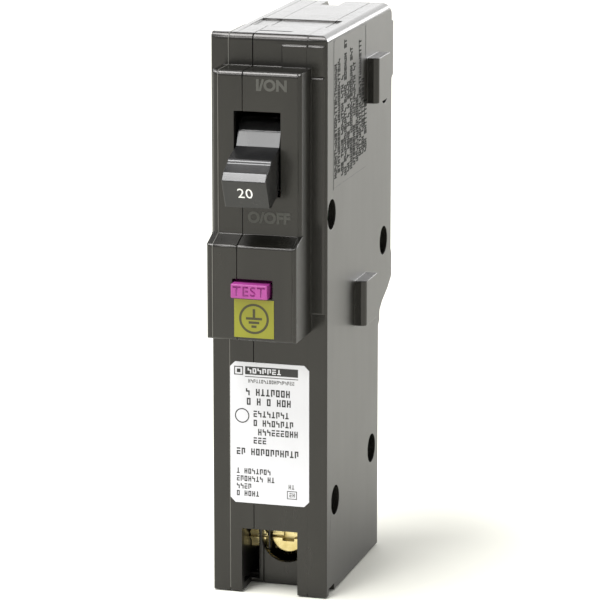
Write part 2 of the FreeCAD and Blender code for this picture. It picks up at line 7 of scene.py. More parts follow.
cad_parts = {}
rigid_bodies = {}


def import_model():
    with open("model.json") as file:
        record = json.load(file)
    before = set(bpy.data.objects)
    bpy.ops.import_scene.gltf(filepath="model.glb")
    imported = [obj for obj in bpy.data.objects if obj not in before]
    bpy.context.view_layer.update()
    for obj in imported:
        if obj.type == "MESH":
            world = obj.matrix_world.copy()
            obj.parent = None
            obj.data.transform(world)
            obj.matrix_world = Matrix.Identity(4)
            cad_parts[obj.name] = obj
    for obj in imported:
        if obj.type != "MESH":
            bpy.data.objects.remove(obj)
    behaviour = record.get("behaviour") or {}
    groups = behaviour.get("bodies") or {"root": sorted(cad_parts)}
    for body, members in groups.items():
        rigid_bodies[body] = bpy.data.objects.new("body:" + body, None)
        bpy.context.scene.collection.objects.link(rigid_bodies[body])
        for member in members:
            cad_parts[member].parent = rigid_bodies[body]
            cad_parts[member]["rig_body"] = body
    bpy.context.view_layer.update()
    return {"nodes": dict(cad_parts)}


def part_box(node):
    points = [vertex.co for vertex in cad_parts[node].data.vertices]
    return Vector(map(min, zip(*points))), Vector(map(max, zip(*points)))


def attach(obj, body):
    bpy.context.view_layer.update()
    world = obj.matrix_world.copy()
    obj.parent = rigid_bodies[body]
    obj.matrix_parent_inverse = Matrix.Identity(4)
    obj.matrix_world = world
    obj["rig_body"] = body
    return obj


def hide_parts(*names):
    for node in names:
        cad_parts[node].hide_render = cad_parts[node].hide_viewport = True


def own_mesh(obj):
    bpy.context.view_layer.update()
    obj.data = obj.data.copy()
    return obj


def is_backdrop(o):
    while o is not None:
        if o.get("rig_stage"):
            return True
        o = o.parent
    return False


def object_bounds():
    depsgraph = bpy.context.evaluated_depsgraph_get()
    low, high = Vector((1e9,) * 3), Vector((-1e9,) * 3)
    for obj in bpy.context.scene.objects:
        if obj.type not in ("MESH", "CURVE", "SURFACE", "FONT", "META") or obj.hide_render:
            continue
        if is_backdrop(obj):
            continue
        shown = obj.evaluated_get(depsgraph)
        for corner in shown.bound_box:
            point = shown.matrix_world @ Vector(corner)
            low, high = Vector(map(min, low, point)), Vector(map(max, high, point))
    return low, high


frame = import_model()
NODES = frame["nodes"]

# A single-pole plug-on breaker with ground-fault and arc-fault electronics: the looks of every piece.
# Sizes are in millimetres from the front left bottom corner of the case, as the maker draws them:
# x across the pole, y from the front shoulder towards the panel, z up. at() gives metres in the frame.

MM = 0.001
POLE = 25.4
FOOT_DEPTH = 43.0
HEIGHT = 122.0
NOSE_FRONT = -7.7
NOSE_LOW, NOSE_TOP = 80.7, 115.2
CHIN_FRONT = -12.1
CHIN_LOW, CHIN_TOP = 58.8, 79.0
PANEL_FRONT, PANEL_TOP = -0.5, 119.9
KEY_RIGHT, KEY_TOP = 16.3, 71.3
LEFT_SEAM, RIGHT_SEAM = 3.84, 21.1
SEAM_HALF = 0.08
PIVOT_Y, PIVOT_Z = -1.0, 98.0
HANDLE_TILT = 25.0
TOGGLE_X = (7.6, 17.1)
TOGGLE_TIP = -16.9
TAIL_X = (11.2, 13.5)
HUB_R, PIN_R = 6.6, 1.5
HUB_FLAT, FLAT_R = 130.5, 6.28
CASE_SOFTENING = 0.13
BEAD_FOOT, BEAD_REAR, BEAD_ROOT = 0.6, 12.0, 0.4
ARC_STEPS = 4
RIGHT_ANGLE = math.radians(90)


def at(x, y, z):
    """A drawn point, in metres in the frame."""
    return Vector(((x - POLE / 2) * MM, (y - FOOT_DEPTH / 2) * MM, z * MM))


def drawn(point):
    """A point of the frame, back in the maker's millimetres."""
    return Vector((point.x / MM + POLE / 2, point.y / MM + FOOT_DEPTH / 2, point.z / MM))


# ---------------------------------------------------------------- camera
CAMERA_TURN, CAMERA_RISE = 15.887, 12.886
CAMERA_PLACE = (220.57, -706.63, 233.57)
CAMERA_LENS = 213.57


def camera():
    data = bpy.data.cameras.new("camera")
    data.lens = CAMERA_LENS
    data.sensor_width = 36
    data.clip_start, data.clip_end = 0.05, 50
    eye = bpy.data.objects.new("camera", data)
    bpy.context.scene.collection.objects.link(eye)
    turn, rise = math.radians(CAMERA_TURN), math.radians(CAMERA_RISE)
    ahead = Vector((-math.sin(turn) * math.cos(rise), math.cos(turn) * math.cos(rise), -math.sin(rise)))
    eye.location = at(*CAMERA_PLACE)
    eye.rotation_mode = "QUATERNION"
    eye.rotation_quaternion = ahead.to_track_quat("-Z", "Y")
    bpy.context.scene.camera = eye


# ---------------------------------------------------------------- shader groups
def new_group(name, inputs, outputs):
    tree = bpy.data.node_groups.new(name, "ShaderNodeTree")
    for label, kind, value in inputs:
        socket = tree.interface.new_socket(name=label, in_out="INPUT", socket_type=kind)
        socket.default_value = value
    for label, kind in outputs:
        tree.interface.new_socket(name=label, in_out="OUTPUT", socket_type=kind)
    return tree, tree.nodes.new("NodeGroupInput"), tree.nodes.new("NodeGroupOutput")


def put(tree, kind, links=None, **values):
    """Add a node, set its properties, and wire or set its inputs by name or number."""
    node = tree.nodes.new(kind)
    for key, value in values.items():
        setattr(node, key, value)
    for key, value in (links or {}).items():
        if isinstance(value, bpy.types.NodeSocket):
            tree.links.new(value, node.inputs[key])
        else:
            node.inputs[key].default_value = value
    return node


def moulding_group():
    """Fine spark-eroded texture of a moulded plastic: a height, a roughness and a slow tone mask."""
    tree, given, result = new_group("moulded_skin", [
        ("Grain", "NodeSocketFloat", 3500.0),
        ("Roughness", "NodeSocketFloat", 0.35),
        ("Spread", "NodeSocketFloat", 0.08),
    ], [("Height", "NodeSocketFloat"), ("Roughness", "NodeSocketFloat"), ("Tone", "NodeSocketFloat")])
    place = put(tree, "ShaderNodeTexCoord").outputs["Object"]
    grain = put(tree, "ShaderNodeTexNoise", {"Vector": place, "Scale": given.outputs["Grain"], "Detail": 3.0})
    cells = put(tree, "ShaderNodeTexVoronoi", {"Vector": place, "Scale": given.outputs["Grain"]})
    height = put(tree, "ShaderNodeMath", {0: grain.outputs[0], 1: cells.outputs["Distance"]}, operation="ADD")
    slow = put(tree, "ShaderNodeTexNoise", {"Vector": place, "Scale": 90.0, "Detail": 4.0})
    flow = put(tree, "ShaderNodeMapping", {"Vector": place, "Scale": (1.0, 1.0, 0.12)})
    streak = put(tree, "ShaderNodeTexNoise", {"Vector": flow.outputs[0], "Scale": 260.0, "Detail": 2.0})
    both = put(tree, "ShaderNodeMath", {0: slow.outputs[0], 1: streak.outputs[0]}, operation="ADD")
    tone = put(tree, "ShaderNodeMath", {0: both.outputs[0], 1: 0.5}, operation="MULTIPLY")
    centred = put(tree, "ShaderNodeMath", {0: tone.outputs[0], 1: 0.5}, operation="SUBTRACT")
    rough = put(tree, "ShaderNodeMath", {0: centred.outputs[0], 1: given.outputs["Spread"],
                                         2: given.outputs["Roughness"]}, operation="MULTIPLY_ADD")
    tree.links.new(height.outputs[0], result.inputs["Height"])
    tree.links.new(rough.outputs[0], result.inputs["Roughness"])
    tree.links.new(tone.outputs[0], result.inputs["Tone"])
    return tree


def metal_group():
    """Rolled or turned metal: fine drawn lines, stain patches and a roughness."""
    tree, given, result = new_group("drawn_metal", [
        ("Lines", "NodeSocketVector", (1.0, 1.0, 0.06)),
        ("Fineness", "NodeSocketFloat", 2600.0),
        ("Roughness", "NodeSocketFloat", 0.25),
    ], [("Height", "NodeSocketFloat"), ("Roughness", "NodeSocketFloat"), ("Stain", "NodeSocketFloat")])
    place = put(tree, "ShaderNodeTexCoord").outputs["Object"]
    along = put(tree, "ShaderNodeVectorMath", {0: place, 1: given.outputs["Lines"]}, operation="MULTIPLY")
    lines = put(tree, "ShaderNodeTexNoise", {"Vector": along.outputs[0], "Scale": given.outputs["Fineness"],
                                             "Detail": 3.0})
    stain = put(tree, "ShaderNodeTexNoise", {"Vector": place, "Scale": 320.0, "Detail": 5.0,
                                             "Roughness": 0.6})
    rough = put(tree, "ShaderNodeMath", {0: lines.outputs[0], 1: 0.18, 2: given.outputs["Roughness"]},
                operation="MULTIPLY_ADD")
    tree.links.new(lines.outputs[0], result.inputs["Height"])
    tree.links.new(rough.outputs[0], result.inputs["Roughness"])
    tree.links.new(stain.outputs[0], result.inputs["Stain"])
    return tree


MOULDED = moulding_group()
DRAWN = metal_group()


# ---------------------------------------------------------------- materials
def surface(name):
    """A new material, with its node tree and its Principled shader."""
    material = bpy.data.materials.new(name)
    material.use_nodes = True
    tree = material.node_tree
    return material, tree, tree.nodes["Principled BSDF"]


def blend_colours(tree, mask, low, high, spread=(0.35, 0.65)):
    ramp = put(tree, "ShaderNodeValToRGB", {"Fac": mask})
    ramp.color_ramp.elements[0].position, ramp.color_ramp.elements[1].position = spread
    ramp.color_ramp.elements[0].color = (*low, 1)
    ramp.color_ramp.elements[1].color = (*high, 1)
    return ramp.outputs["Color"]


def bump(tree, height, strength, distance):
    node = put(tree, "ShaderNodeBump", {"Height": height, "Strength": strength, "Distance": distance})
    return node.outputs["Normal"]


def plastic(name, low, high, roughness=0.35, spread=0.1, grain=3500.0, depth=0.25, tint=1.0, broadside=0.0,
            shine=0.5):
    """A moulded plastic; broadside adds roughness to the faces that look along X."""
    material, tree, shader = surface(name)
    skin = put(tree, "ShaderNodeGroup", node_tree=MOULDED)
    skin.inputs["Grain"].default_value = grain
    skin.inputs["Roughness"].default_value = roughness
    skin.inputs["Spread"].default_value = spread
    tree.links.new(blend_colours(tree, skin.outputs["Tone"], low, high), shader.inputs["Base Color"])
    facing = put(tree, "ShaderNodeSeparateXYZ", {0: put(tree, "ShaderNodeTexCoord").outputs["Normal"]})
    sideways = put(tree, "ShaderNodeMath", {0: facing.outputs["X"], 1: facing.outputs["X"]},
                   operation="MULTIPLY")
    broad = put(tree, "ShaderNodeMath", {0: sideways.outputs[0], 1: 0.9}, operation="GREATER_THAN")
    matt = put(tree, "ShaderNodeMath", {0: broad.outputs[0], 1: broadside, 2: skin.outputs["Roughness"]},
               operation="MULTIPLY_ADD")
    tree.links.new(matt.outputs[0], shader.inputs["Roughness"])
    shader.inputs["Specular IOR Level"].default_value = shine
    tree.links.new(bump(tree, skin.outputs["Height"], depth, 0.00001), shader.inputs["Normal"])
    shader.inputs["Specular Tint"].default_value = (1.0, 0.4 + 0.6 * tint, tint, 1.0)
    return material


def metal(name, low, high, roughness=0.25, lines=(1.0, 1.0, 0.06), fineness=2600.0, depth=0.2):
    material, tree, shader = surface(name)
    skin = put(tree, "ShaderNodeGroup", node_tree=DRAWN)
    skin.inputs["Lines"].default_value = lines
    skin.inputs["Fineness"].default_value = fineness
    skin.inputs["Roughness"].default_value = roughness
    tree.links.new(blend_colours(tree, skin.outputs["Stain"], low, high), shader.inputs["Base Color"])
    tree.links.new(skin.outputs["Roughness"], shader.inputs["Roughness"])
    tree.links.new(bump(tree, skin.outputs["Height"], depth, 0.00001), shader.inputs["Normal"])
    shader.inputs["Metallic"].default_value = 1.0
    return material


def two_tone(name, low, high, axis, share, roughness=0.3):
    """Two metals rolled into one strip: the colour changes across the strip's thickness."""
    material, tree, shader = surface(name)
    place = put(tree, "ShaderNodeTexCoord").outputs["Object"]
    split = put(tree, "ShaderNodeSeparateXYZ", {0: place})
    side = put(tree, "ShaderNodeMath", {0: split.outputs[axis], 1: share}, operation="GREATER_THAN")
    skin = put(tree, "ShaderNodeGroup", node_tree=DRAWN)
    skin.inputs["Roughness"].default_value = roughness
    tree.links.new(blend_colours(tree, side.outputs[0], low, high, (0.4, 0.6)), shader.inputs["Base Color"])
    tree.links.new(skin.outputs["Roughness"], shader.inputs["Roughness"])
    shader.inputs["Metallic"].default_value = 1.0
    return material


def stranded(name, low, high):
    """Woven copper braid: two crossing waves of strands."""
    material, tree, shader = surface(name)
    place = put(tree, "ShaderNodeTexCoord").outputs["Object"]
    heights = []
    for slant in (0.7, -0.7):
        lean = put(tree, "ShaderNodeMapping", {"Vector": place, "Rotation": (slant, 0.4, slant)})
        wave = put(tree, "ShaderNodeTexWave", {"Vector": lean.outputs[0], "Scale": 620.0, "Distortion": 0.6})
        heights.append(wave.outputs["Fac"])
    weave = put(tree, "ShaderNodeMath", {0: heights[0], 1: heights[1]}, operation="MAXIMUM")
    tree.links.new(blend_colours(tree, weave.outputs[0], low, high, (0.2, 0.9)), shader.inputs["Base Color"])
    tree.links.new(bump(tree, weave.outputs[0], 0.8, 0.0001), shader.inputs["Normal"])
    shader.inputs["Metallic"].default_value = 1.0
    shader.inputs["Roughness"].default_value = 0.35
    return material


def make_materials():
    made = {
        "shell_black": plastic("black_thermoset", (0.009, 0.0088, 0.0072), (0.0145, 0.0141, 0.0118), 0.26,
                               0.1, tint=0.95, broadside=0.13),
        "toggle_black": plastic("toggle_nylon", (0.011, 0.011, 0.0115), (0.017, 0.017, 0.017), 0.2, 0.1,
                                4200.0, 0.12),
        "key_magenta": plastic("test_key_magenta", (0.31, 0.037, 0.23), (0.38, 0.055, 0.28), 0.38, 0.1,
                               3000.0, 0.2),
        "label_white": plastic("label_film", (0.73, 0.73, 0.77), (0.77, 0.77, 0.81), 0.42, 0.08,
                               5200.0, 0.08),
        "sticker_yellow": plastic("sticker_film", (0.235, 0.235, 0.012), (0.27, 0.268, 0.016), 0.4, 0.08,
                                  5200.0, 0.08),
        "fibre": plastic("vulcanised_fibre", (0.12, 0.035, 0.02), (0.2, 0.06, 0.03), 0.6, 0.2, 1500.0, 0.5),
        "board_green": plastic("board_laminate", (0.01, 0.09, 0.03), (0.015, 0.14, 0.05), 0.35, 0.1,
                               1900.0, 0.3),
        "chip_black": plastic("chip_epoxy", (0.012, 0.012, 0.013), (0.022, 0.022, 0.022), 0.55, 0.1,
                              5000.0, 0.3),
        "varistor_blue": plastic("varistor_coat", (0.02, 0.07, 0.3), (0.03, 0.1, 0.4), 0.3, 0.15,
                                 1400.0, 0.5),
        "ferrite": plastic("ferrite_core", (0.03, 0.035, 0.035), (0.06, 0.06, 0.055), 0.5, 0.2, 2500.0, 0.5),
        "winding": metal("enamelled_wire", (0.5, 0.16, 0.05), (0.62, 0.24, 0.08), 0.28),
        "brass": metal("brass", (0.62, 0.5, 0.21), (0.8, 0.68, 0.36), 0.2, (0.2, 1.0, 0.2)),
        "zinc_steel": metal("zinc_plated_steel", (0.5, 0.5, 0.47), (0.64, 0.64, 0.62), 0.28),
        "copper": metal("copper", (0.66, 0.29, 0.17), (0.8, 0.4, 0.26), 0.25),
        "silver": metal("silver_contact", (0.74, 0.73, 0.7), (0.86, 0.85, 0.83), 0.3),
        "spring_steel": metal("spring_steel", (0.33, 0.33, 0.34), (0.48, 0.48, 0.48), 0.24),
        "can_aluminium": metal("can_sleeve", (0.6, 0.6, 0.62), (0.74, 0.74, 0.76), 0.3),
    }
    low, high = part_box("bimetal")
    made["bimetal"] = two_tone("bimetal_strip", (0.5, 0.5, 0.48), (0.6, 0.42, 0.25), 1, (low.y + high.y) / 2)
    made["braid"] = stranded("copper_braid", (0.3, 0.1, 0.05), (0.82, 0.4, 0.25))
    made["ink_black"] = plastic("black_ink", (0.018, 0.018, 0.019), (0.03, 0.03, 0.03), 0.5, 0.1, 6000.0, 0.1)
    made["ink_grey"] = plastic("thin_black_ink", (0.09, 0.09, 0.09), (0.16, 0.16, 0.16), 0.5, 0.1,
                               6000.0, 0.1)
    made["ink_olive"] = plastic("olive_ink", (0.045, 0.04, 0.012), (0.06, 0.055, 0.016), 0.45, 0.1,
                                6000.0, 0.1)
    made["paint_white"] = plastic("filled_paint", (0.8, 0.8, 0.79), (0.88, 0.88, 0.87), 0.45, 0.1,
                                  4000.0, 0.2)
    # the left parting bead is coloured far lighter than the case's black: a painted highlight on the seam's
    # edge
    made["flash_painted_highlight"] = plastic("parting_flash_painted_highlight", (0.09, 0.088, 0.078), (0.17, 0.165, 0.15), 0.4, 0.1)
    # the raised words are coloured lighter than the case's black as a painted highlight on their faces
    made["word_black"] = plastic("thermoset_painted_highlight", (0.055, 0.055, 0.048), (0.075, 0.074, 0.066), 0.45, 0.1)
    made["mark_grey"] = plastic("side_print", (0.006, 0.006, 0.006), (0.012, 0.012, 0.011), 0.8, 0.1,
                                4000.0, 0.2, shine=0.15)
    return made


M = make_materials()


# ---------------------------------------------------------------- mesh helpers
def link(name, mesh):
    obj = bpy.data.objects.new(name, mesh)
    bpy.context.scene.collection.objects.link(obj)
    return obj


def to_object(name, bm):
    bmesh.ops.recalc_face_normals(bm, faces=bm.faces)
    mesh = bpy.data.meshes.new(name)
    bm.to_mesh(mesh)
    bm.free()
    return link(name, mesh)


def settle(obj):
    """Apply every modifier, so that the piece is a plain mesh."""
    graph = bpy.context.evaluated_depsgraph_get()
    mesh = bpy.data.meshes.new_from_object(obj.evaluated_get(graph))
    obj.modifiers.clear()
    obj.data = mesh
    return obj


def smooth(obj, degrees=32):
    obj.data.shade_smooth()
    obj.data.set_sharp_from_angle(angle=math.radians(degrees))
    return obj


def bevel(obj, width, segments=2, degrees=40):
    """Soften the edges sharper than this and keep the flats flat."""
    rounding = obj.modifiers.new("rounding", "BEVEL")
    rounding.width = width * MM
    rounding.segments = segments
    rounding.limit_method = "ANGLE"
    rounding.angle_limit = math.radians(degrees)
    rounding.use_clamp_overlap = False
    rounding.miter_outer = "MITER_ARC"
    return settle(obj)


def finish_shade(obj, degrees=32):
    smooth(obj, degrees)
    flats = obj.modifiers.new("flats", "WEIGHTED_NORMAL")
    flats.keep_sharp = True
    flats.weight = 80
    return obj


def in_triangles(bm):
    """Cut the many-sided faces up while they are still flat, so that none spills over a notch."""
    wide = [face for face in bm.faces if len(face.verts) > 4]
    bmesh.ops.triangulate(bm, faces=wide, ngon_method="BEAUTY")


def whole_copy(node):
    """A merged copy of a CAD node's mesh, with its flat faces whole again."""
    bm = bmesh.new()
    bm.from_mesh(NODES[node].data)
    bmesh.ops.remove_doubles(bm, verts=bm.verts, dist=2e-6)
    bmesh.ops.dissolve_degenerate(bm, dist=1e-7, edges=bm.edges)
    bmesh.ops.dissolve_limit(bm, angle_limit=math.radians(0.3), verts=bm.verts, edges=bm.edges)
    in_triangles(bm)
    return to_object(node + ".finished", bm)


def give(obj, finish, body="housing", node=None):
    """Gives the piece its material and body, and hides the CAD node that it stands for."""
    obj.data.materials.clear()
    obj.data.materials.append(M[finish])
    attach(obj, body)
    if node:
        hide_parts(node)
    return obj


def combine(obj, other, operation):
    """Join another closed solid to the piece, or take it out of the piece."""
    tool = obj.modifiers.new("combined", "BOOLEAN")
    tool.operation = operation
    tool.solver = "EXACT"
    tool.object = other
    settle(obj)
    bpy.data.objects.remove(other)
    return obj


def letters(text, height, depth, place, across, up, spacing=1.0, name="letters", weight=0.0):
    """Plain block characters as a closed mesh, centred on place and half sunk; weight thickens them."""
    curve = bpy.data.curves.new(name, "FONT")
    curve.body = text
    curve.align_x = "CENTER"
    curve.align_y = "CENTER"
    curve.size = height * MM / 0.7
    curve.extrude = depth * MM / 2
    curve.offset = weight * MM
    curve.space_character = spacing
    curve.resolution_u = 4
    word = link(name, curve)
    graph = bpy.context.evaluated_depsgraph_get()
    mesh = bpy.data.meshes.new_from_object(word.evaluated_get(graph))
    bpy.data.objects.remove(word)
    bm = bmesh.new()
    bm.from_mesh(mesh)
    bmesh.ops.remove_doubles(bm, verts=bm.verts, dist=1e-6)
    across, up = Vector(across).normalized(), Vector(up).normalized()
    out = across.cross(up)
    turn = Matrix((across, up, out)).transposed().to_4x4()
    turn.translation = place
    bmesh.ops.transform(bm, matrix=turn, verts=bm.verts)
    return to_object(name, bm)


def block(bm, low, high):
    """Add a closed box between two corners."""
    for vert in bmesh.ops.create_cube(bm, size=1.0)["verts"]:
        vert.co = Vector([low[i] + (vert.co[i] + 0.5) * (high[i] - low[i]) for i in range(3)])


def slab(bm, low, high):
    """Add a closed box between two drawn corners."""
    block(bm, at(*low), at(*high))


def flat_ring(bm, x, y, z, outer, inner, segments):
    """Add a thin flat ring that faces the front, round a drawn point."""
    rim = bmesh.ops.create_circle(bm, segments=segments, radius=outer * MM)["verts"]
    hole = bmesh.ops.create_circle(bm, segments=segments, radius=inner * MM)["verts"]
    for a, b, c, d in zip(rim, rim[1:] + rim[:1], hole[1:] + hole[:1], hole):
        bm.faces.new((a, b, c, d))
    stand = Matrix.Translation(at(x, y, z)) @ Matrix.Rotation(RIGHT_ANGLE, 4, "X")
    bmesh.ops.transform(bm, matrix=stand, verts=rim + hole)


# ---------------------------------------------------------------- geometry node trees
def node_modifier(name, inputs, build, material):
    """A geometry node tree with named inputs; build wires it and returns the geometry to finish with."""
    tree = bpy.data.node_groups.new(name, "GeometryNodeTree")
    tree.interface.new_socket(name="Geometry", in_out="INPUT", socket_type="NodeSocketGeometry")
    ids = {}
    for label, kind in inputs:
        ids[label] = tree.interface.new_socket(name=label, in_out="INPUT", socket_type=kind).identifier
    tree.interface.new_socket(name="Geometry", in_out="OUTPUT", socket_type="NodeSocketGeometry")
    given = tree.nodes.new("NodeGroupInput")
    result = tree.nodes.new("NodeGroupOutput")
    shaped = build(tree, given.outputs)
    real = put(tree, "GeometryNodeRealizeInstances", {0: shaped})
    painted = put(tree, "GeometryNodeSetMaterial", {"Geometry": real.outputs[0], "Material": material})
    tree.links.new(painted.outputs[0], result.inputs[0])
    return tree, ids


def grown(name, points, tree, ids, values):
    """Run a node tree on a bare set of points and keep the plain mesh that it makes."""
    mesh = bpy.data.meshes.new(name)
    mesh.from_pydata([tuple(p) for p in points], [], [])
    obj = link(name, mesh)
    modifier = obj.modifiers.new(tree.name, "NODES")
    modifier.node_group = tree
    for label, value in values.items():
        modifier[ids[label]] = value
    return settle(obj)


def stroke_glyph(index, strokes):
    """One meaningless printed sign, a unit high, made of flat bars in the X-Y plane."""
    bm = bmesh.new()
    for x0, y0, x1, y1 in strokes:
        block(bm, (x0, y0, 0.0), (x1, y1, 1.0))
    obj = to_object("sign_%d" % index, bm)
    obj.hide_render = True
    return obj


def sign_collection():
    """Six signs that look like small print from a distance and spell nothing."""
    shapes = [
        [(0.05, 0.0, 0.27, 1.0), (0.27, 0.4, 0.48, 0.6), (0.48, 0.0, 0.68, 1.0)],
        [(0.05, 0.8, 0.68, 1.0), (0.05, 0.0, 0.27, 0.8), (0.46, 0.25, 0.68, 0.8)],
        [(0.05, 0.0, 0.68, 0.2), (0.25, 0.2, 0.48, 1.0)],
        [(0.05, 0.5, 0.27, 1.0), (0.27, 0.5, 0.68, 0.7), (0.46, 0.0, 0.68, 0.5)],
        [(0.05, 0.0, 0.68, 0.2), (0.05, 0.4, 0.68, 0.6), (0.05, 0.8, 0.68, 1.0), (0.05, 0.2, 0.25, 0.4)],
        [(0.05, 0.0, 0.27, 1.0), (0.27, 0.8, 0.68, 1.0), (0.46, 0.2, 0.68, 0.8), (0.27, 0.0, 0.68, 0.2)],
    ]
    group = bpy.data.collections.new("signs")
    bpy.context.scene.collection.children.link(group)
    for index, strokes in enumerate(shapes):
        sign = stroke_glyph(index, strokes)
        bpy.context.scene.collection.objects.unlink(sign)
        group.objects.link(sign)
    return group


SIGNS = sign_collection()


def print_tree(material, name):
    """Rows of small print: a line of points, gaps left at random, one sign on each point."""
    inputs = [("Count", "NodeSocketInt"), ("Pitch", "NodeSocketFloat"), ("Size", "NodeSocketVector"),
              ("Gaps", "NodeSocketFloat"), ("Turn", "NodeSocketRotation"), ("Along", "NodeSocketVector"),
              ("Seed", "NodeSocketInt")]

    def build(tree, given):
        start = put(tree, "GeometryNodeInputPosition")
        first = put(tree, "GeometryNodeSampleIndex", {"Index": 0}, data_type="FLOAT_VECTOR")
        tree.links.new(given["Geometry"], first.inputs["Geometry"])
        tree.links.new(start.outputs[0], first.inputs["Value"])
        step = put(tree, "ShaderNodeVectorMath", {0: given["Along"]}, operation="SCALE")
        tree.links.new(given["Pitch"], step.inputs["Scale"])
        row = put(tree, "GeometryNodeMeshLine", {"Count": given["Count"], "Start Location": first.outputs[0],
                                                 "Offset": step.outputs[0]})
        keep = put(tree, "FunctionNodeRandomValue", {"Probability": given["Gaps"], "Seed": given["Seed"]},
                   data_type="BOOLEAN")
        gapped = put(tree, "GeometryNodeDeleteGeometry", {"Geometry": row.outputs[0],
                                                          "Selection": keep.outputs[3]}, domain="POINT")
        signs = put(tree, "GeometryNodeCollectionInfo", {"Collection": SIGNS, "Separate Children": True,
                                                         "Reset Children": True})
        pick = put(tree, "FunctionNodeRandomValue", {4: 0, 5: len(SIGNS.objects) - 1,
                                                     "Seed": given["Seed"]}, data_type="INT")
        placed = put(tree, "GeometryNodeInstanceOnPoints", {
            "Points": gapped.outputs[0], "Instance": signs.outputs[0], "Pick Instance": True,
            "Instance Index": pick.outputs[2], "Rotation": given["Turn"], "Scale": given["Size"]})
        return placed.outputs[0]

    return node_modifier(name, inputs, build, material)


def rivet_profile():
    """Half section of a tubular rivet's rolled head, radius against height out of the case."""
    return [(1.25, -1.0), (1.25, 0.0), (2.3, 0.0), (2.3, 0.35), (2.1, 0.66), (1.6, 0.8), (1.1, 0.74),
            (0.74, 0.5), (0.7, -2.0), (0.02, -2.0)]


def turned(name, profile, segments=32):
    """A closed solid of revolution about X; profile is (radius, x) in mm, from the outside in."""
    bm = bmesh.new()
    rings = []
    for radius, x in profile:
        ring = []
        for k in range(segments):
            angle = 2 * math.pi * k / segments
            ring.append(bm.verts.new((x * MM, radius * MM * math.cos(angle), radius * MM * math.sin(angle))))
        rings.append(ring)
    for low, high in zip(rings, rings[1:]):
        for k in range(segments):
            n = (k + 1) % segments
            bm.faces.new((low[k], low[n], high[n], high[k]))
    for ring in (rings[0], rings[-1]):
        bm.faces.new(ring)
    return to_object(name, bm)


def instance_tree(name, source, material):
    """Stands one copy of a source piece on every point, turned the same way."""
    def build(tree, given):
        info = put(tree, "GeometryNodeObjectInfo", {"Object": source})
        placed = put(tree, "GeometryNodeInstanceOnPoints", {
            "Points": given["Geometry"], "Instance": info.outputs["Geometry"], "Rotation": given["Turn"],
            "Scale": given["Size"]})
        return placed.outputs[0]

    inputs = [("Turn", "NodeSocketRotation"), ("Size", "NodeSocketVector")]
    return node_modifier(name, inputs, build, material)


def turns_tree(name, material):
    """A row of wire turns: one rounded ring on every point."""
    def build(tree, given):
        path = put(tree, "GeometryNodeCurvePrimitiveCircle", {"Resolution": 40, "Radius": given["Radius"]})
        wire = put(tree, "GeometryNodeCurvePrimitiveCircle", {"Resolution": 8, "Radius": given["Wire"]})
        ring = put(tree, "GeometryNodeCurveToMesh", {"Curve": path.outputs[0],
                                                     "Profile Curve": wire.outputs[0]})
        placed = put(tree, "GeometryNodeInstanceOnPoints", {
            "Points": given["Geometry"], "Instance": ring.outputs[0], "Rotation": given["Turn"]})
        return placed.outputs[0]

    inputs = [("Radius", "NodeSocketFloat"), ("Wire", "NodeSocketFloat"), ("Turn", "NodeSocketRotation")]
    return node_modifier(name, inputs, build, material)


# ---------------------------------------------------------------- the case
def case_shells():
    """The four mouldings, with softened edges."""
    for node in ("left_cover", "mechanism_case", "electronics_case", "right_cover"):
        shell = whole_copy(node)
        bevel(shell, CASE_SOFTENING)
        finish_shade(shell)
        give(shell, "shell_black", "housing", node)


def rounded(path, radii):
    """The (y, z) path with an arc of the given radius in place of each named corner."""
    result = []
    for k, corner in enumerate(Vector(p) for p in path):
        radius = radii.get(k, 0.0)
        if not radius:
            result.append(corner)
            continue
        back, ahead = (Vector(path[k - 1]) - corner).normalized(), (Vector(path[k + 1]) - corner).normalized()
        half = back.angle(ahead) / 2
        run, weight = radius / math.tan(half), math.sin(half)
        start, end = corner + back * run, corner + ahead * run
        for step in range(ARC_STEPS + 1):
            t = step / ARC_STEPS
            parts = ((1 - t) ** 2, 2 * t * (1 - t) * weight, t * t)
            result.append((start * parts[0] + corner * parts[1] + end * parts[2]) / sum(parts))
    return result


def beside(path, shift):
    """The same path moved sideways, outward for a path that climbs the front."""
    result = []
    for k, point in enumerate(path):
        runs = [(path[j + 1] - path[j]).normalized() for j in (k - 1, k) if 0 <= j < len(path) - 1]
        sides = [Vector((-run.y, run.x)) for run in runs]
        middle = (sides[0] + sides[-1]).normalized()
        result.append(point + middle * shift / middle.dot(sides[0]))
    return result


def parting_beads():
    """Fine moulding flash left standing in the two outer parting lines of the case; the left bead is coloured
    far lighter than the case, a painted highlight along that seam.
    """
    chin = [(0, CHIN_LOW), (CHIN_FRONT, CHIN_LOW), (CHIN_FRONT, CHIN_TOP), (NOSE_FRONT, NOSE_LOW)]
    nose = [(NOSE_FRONT, NOSE_TOP), (0, NOSE_TOP)]
    foot, end = [(0, BEAD_FOOT)], [(0, HEIGHT), (BEAD_REAR, HEIGHT)]
    left = foot + chin + nose + end
    panel = [(PANEL_FRONT, NOSE_TOP), (PANEL_FRONT, PANEL_TOP), (0, PANEL_TOP)]
    right = foot + chin + nose[:1] + panel + end
    # the left bead's lighter colour is a painted highlight; the right bead keeps the case's black
    for name, x, path, radii, proud, finish in (
            ("left_bead", LEFT_SEAM, left, {2: 0.7, 3: 0.7, 5: 1.1, 7: 1.5}, 0.035, "flash_painted_highlight"),
            ("right_bead", RIGHT_SEAM, right, {2: 0.7, 3: 0.7, 5: 1.1, 9: 1.5}, -0.03, "shell_black")):
        run = rounded(path, radii)
        outline = beside(run, proud) + list(reversed(beside(run, -BEAD_ROOT)))
        bead = prism(name, (x - SEAM_HALF, x + SEAM_HALF), [tuple(p) for p in outline])
        give(bead, finish)


